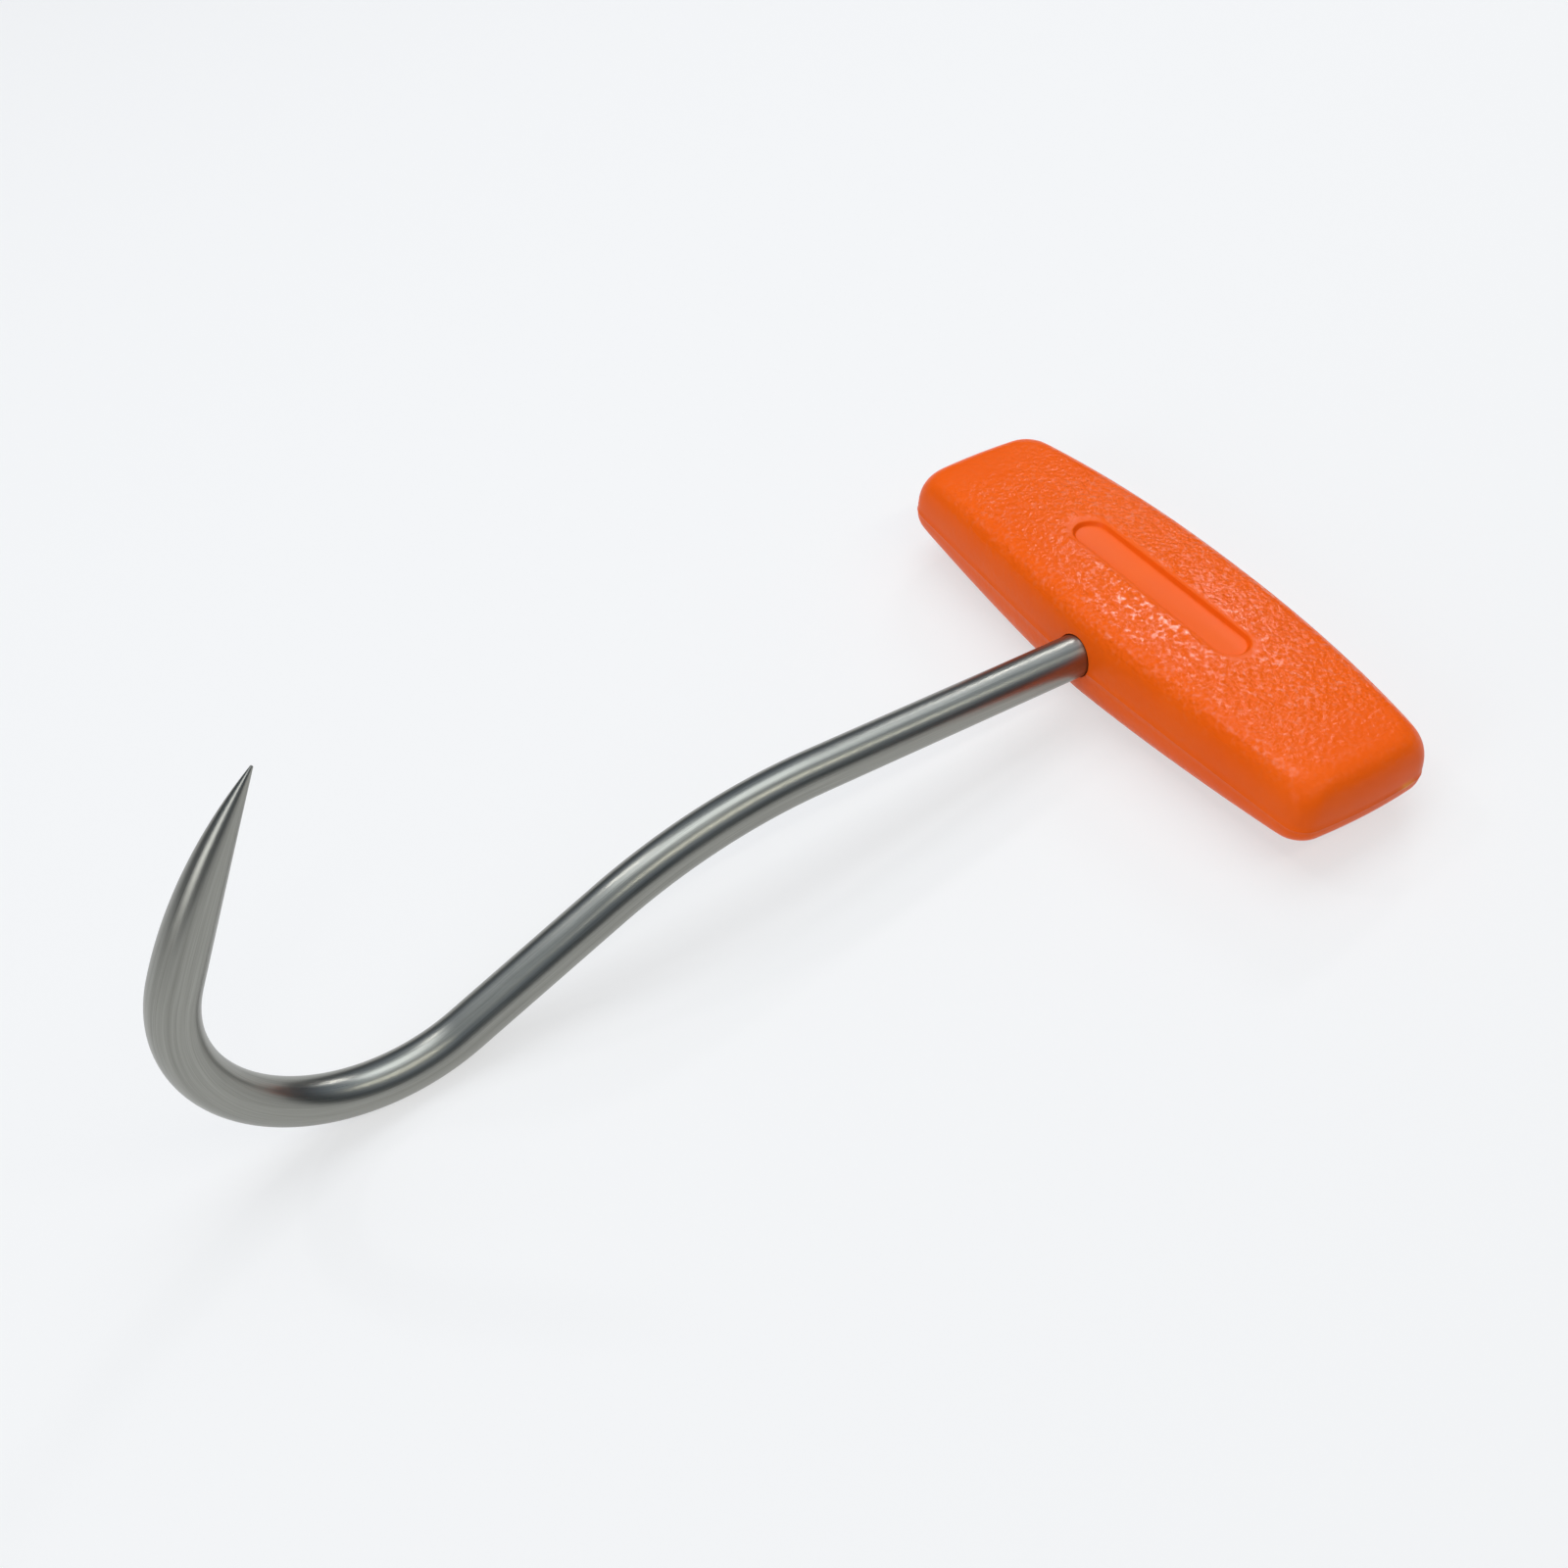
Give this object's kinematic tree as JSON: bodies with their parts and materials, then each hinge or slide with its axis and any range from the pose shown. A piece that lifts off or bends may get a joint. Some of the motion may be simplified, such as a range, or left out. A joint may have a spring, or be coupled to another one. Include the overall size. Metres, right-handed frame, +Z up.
{
  "type": "boning hook",
  "caption": "T-handled boning hook: a round steel rod, cranked and bent into an open hook with a ground point, in a moulded plastic cross handle.",
  "frame": {"origin": "on the surface that the tool lies on, under the middle of its outer box", "axes": "+X from the handle towards the hook, +Y along the handle, +Z up, towards the hook's point and the label recess"},
  "size_m": [0.2072, 0.1126, 0.0789],
  "materials": {
    "hook_rod": "brushed lengthwise, satin",
    "handle": "fine moulded grain",
    "cross_pin": "plain ground"
  },
  "bodies": {
    "root": {"hook_rod": "hook_rod", "handle": "handle", "cross_pin": "cross_pin"}
  },
  "joints": []
}
